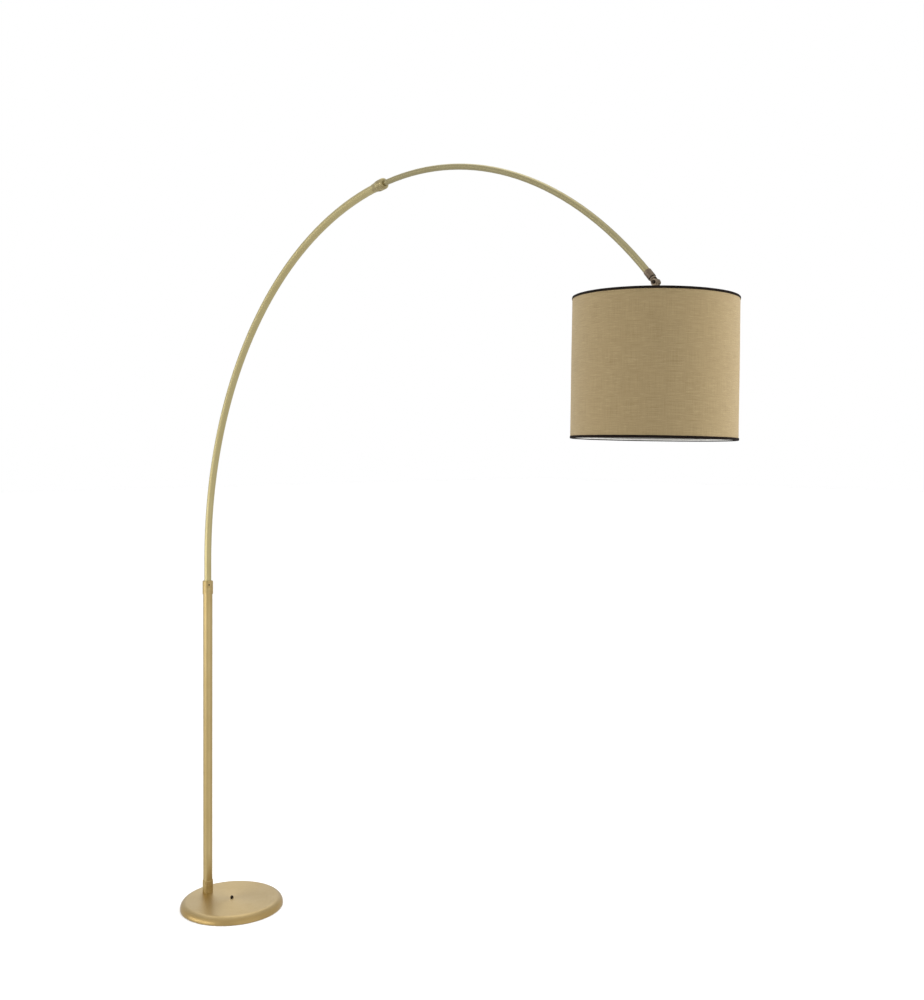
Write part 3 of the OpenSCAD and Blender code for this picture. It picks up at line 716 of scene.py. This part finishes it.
def make_pad():
    """Felt under the base, with soft edges."""
    low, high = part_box("base_pad")
    radius, top, edge = (high[0] - low[0]) / 2, high[2], 0.0008
    profile = [
        (0.0001, low[2]),
        (radius * 0.5, low[2]),
        (radius - 2 * edge, low[2]),
        (radius - edge * 0.6, low[2] + edge * 0.3),
        (radius, low[2] + edge),
        (radius, top - edge),
        (radius - edge * 0.6, top),
        (radius * 0.5, top),
        (0.0001, top),
    ]

    def ragged(turn):
        return -0.0002 + 0.00015 * math.sin(37 * turn) * math.sin(53 * turn + 1)

    points, faces = revolved(profile, EDGE_STEPS, radius_at=ragged)
    piece = add_piece("felt_pad", points, faces, Matrix.Identity(4), felt("felt"), "base")
    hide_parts("base_pad")


# ---------------------------------------------------------------- studio
FLOOR_SIZE = 60
ROOM_DIM = 0.12
ROOM_BACK = 0.75
ROOM_RIGHT = 1.45
ROOM_LEFT = 0.46
ROOM_TOP = 1.35
MIRROR_DIM = 0.62
MIRROR_SCREEN = 2.2
MIRROR_BACK = 0.22
MIRROR_OVERHEAD = 0.68
MIRROR_TOP = 0.15
MIRROR_STRIP = 0.16
SOFTBOXES = {
    # name: (side, ahead, up, width, height, watts)
    "right_softbox": (3.6, -0.3, 1.9, 2.0, 3.0, 60),
    "left_softbox": (-4.2, -0.5, 1.9, 2.0, 3.0, 35),
    "top_softbox": (0.0, 0.8, 4.6, 3.0, 3.0, 40),
}


def make_floor():
    half = FLOOR_SIZE / 2
    mesh = bpy.data.meshes.new("floor")
    corners = [(-half, -half, 0), (half, -half, 0), (half, half, 0), (-half, half, 0)]
    mesh.from_pydata(corners, [], [(0, 1, 2, 3)])
    g = Graph("floor_paint")
    grain = g.noise(g.place(), 40, 4, 0.5)
    g.set(
        Base_Color=g.blend(g.span(grain, 0.3, 0.7, 0, 1), rgba(0.93, 0.93, 0.93), rgba(0.95, 0.95, 0.95)),
        Roughness=0.75,
        Specular_IOR_Level=0.2,
    )
    mesh.materials.append(g.mat)
    made = bpy.data.objects.new("floor", mesh)
    made.visible_glossy = False
    bpy.context.scene.collection.objects.link(made)


def make_lights():
    look_at = (Vector(CAD_BOX[0]) + Vector(CAD_BOX[1])) / 2
    for name, (side, ahead, up, width, height, watts) in SOFTBOXES.items():
        data = bpy.data.lights.new(name, "AREA")
        data.shape = "RECTANGLE"
        data.size, data.size_y = width, height
        data.energy = watts
        made = bpy.data.objects.new(name, data)
        bpy.context.scene.collection.objects.link(made)
        made.location = Vector((look_at.x, look_at.y, 0)) + RIGHT * side + AHEAD * ahead + Vector((0, 0, up))
        aim = look_at - made.location
        made.rotation_mode = "QUATERNION"
        made.rotation_quaternion = aim.to_track_quat("-Z", "Y")
        made.visible_camera = False
        made.visible_glossy = False


def make_world():
    """A pale room. What the metal mirrors is a large white screen on the left, a lit band behind and
    above the lamp and two soft strips on the camera's side."""
    world = bpy.data.worlds.new("room")
    world.use_nodes = True
    tree = world.node_tree
    tree.nodes.clear()
    g = Graph(None, tree)
    to = g.node("ShaderNodeTexCoord").outputs["Generated"]
    side = g.vector("DOT_PRODUCT", to, tuple(RIGHT))
    ahead = g.vector("DOT_PRODUCT", to, tuple(AHEAD))
    up = g.split(to)[2]

    def rise(value, low, high, amount=1.0):
        return g.span(value, low, high, 0.0, amount, "SMOOTHSTEP")

    def total(*parts):
        made = parts[0]
        for part in parts[1:]:
            made = g.math("ADD", made, part)
        return made

    def both(*parts):
        made = parts[0]
        for part in parts[1:]:
            made = g.math("MULTIPLY", made, part)
        return made

    wall = total(ROOM_DIM, rise(ahead, -0.3, 0.9, ROOM_BACK), rise(side, 0.45, 1.0, ROOM_RIGHT),
                 rise(side, -0.45, -1.0, ROOM_LEFT))
    lift = rise(up, 0.35, 0.85)
    soft = total(both(wall, g.math("SUBTRACT", 1.0, lift)), both(lift, ROOM_TOP))
    strips = [
        rise(g.vector("DOT_PRODUCT", to, tuple((RIGHT * way - AHEAD).normalized())), 0.78, 0.95, MIRROR_STRIP)
        for way in (-1, 1)
    ]
    off_centre = g.math("ABSOLUTE", g.math("ADD", side, 0.1))
    level = both(rise(up, -0.15, -0.04), rise(up, 0.16, 0.04))
    mirrored = total(
        MIRROR_DIM,
        both(rise(side, -0.36, -0.62, MIRROR_SCREEN), rise(ahead, 0.12, -0.06), level),
        both(rise(off_centre, 0.5, 0.1, MIRROR_BACK), rise(ahead, 0.05, 0.35), rise(up, 0.1, 0.26)),
        both(rise(off_centre, 0.4, 0.1, MIRROR_OVERHEAD), rise(ahead, 0.05, 0.35), rise(up, 0.42, 0.62)),
        rise(up, 0.7, 0.95, MIRROR_TOP),
        *strips,
    )
    path = g.node("ShaderNodeLightPath").outputs

    def background(strength):
        made = g.node("ShaderNodeBackground")
        g.feed(made.inputs["Color"], (1, 1, 1, 1))
        g.feed(made.inputs["Strength"], strength)
        return made.outputs[0]

    def choose(factor, first, second):
        made = g.node("ShaderNodeMixShader")
        g.feed(made.inputs[0], factor)
        g.feed(made.inputs[1], first)
        g.feed(made.inputs[2], second)
        return made.outputs[0]

    lit = choose(path["Is Glossy Ray"], background(soft), background(mirrored))
    shown = choose(path["Is Camera Ray"], lit, background(1.0))
    g.feed(g.node("ShaderNodeOutputWorld").inputs[0], shown)
    world.cycles.sampling_method = "NONE"
    bpy.context.scene.world = world


bpy.context.scene.view_settings.view_transform = "Standard"
make_camera()
dress_nodes()
make_shade()
make_bulb()
make_pad()
make_floor()
make_lights()
make_world()
